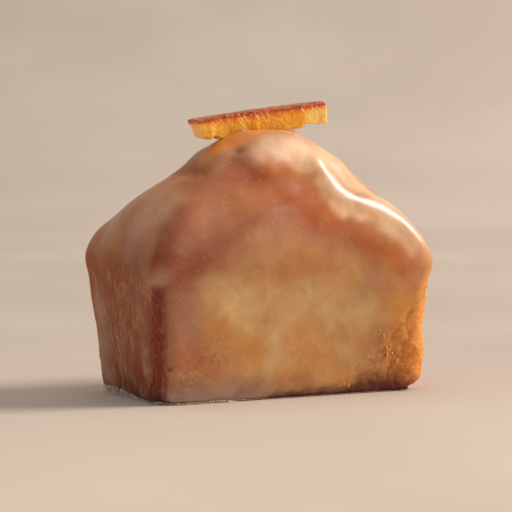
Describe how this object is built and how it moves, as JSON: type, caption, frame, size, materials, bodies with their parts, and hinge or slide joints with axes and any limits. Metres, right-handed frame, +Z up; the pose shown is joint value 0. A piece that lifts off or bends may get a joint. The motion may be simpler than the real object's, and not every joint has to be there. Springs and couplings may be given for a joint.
{
  "type": "orange cake",
  "caption": "Small glazed orange loaf cake for one person, with tapered sides, a tall domed top and a stick of candied orange peel lying on its crown.",
  "frame": {"origin": "middle of the outline, on the surface that the cake stands on", "axes": "+Z up, +X along the loaf's long side, -Y out of its front long side"},
  "size_m": [0.09, 0.0492, 0.0815],
  "materials": {
    "cake": "baked golden brown crust, fine porous crumb, browner at the corners and the base",
    "glaze": "translucent set sugar glaze, milky where thick, glossy",
    "candied_peel": "translucent candied pith with a darker orange rind, sticky gloss"
  },
  "bodies": {
    "root": {"cake": "cake", "candied_peel": "candied_peel"}
  },
  "joints": []
}
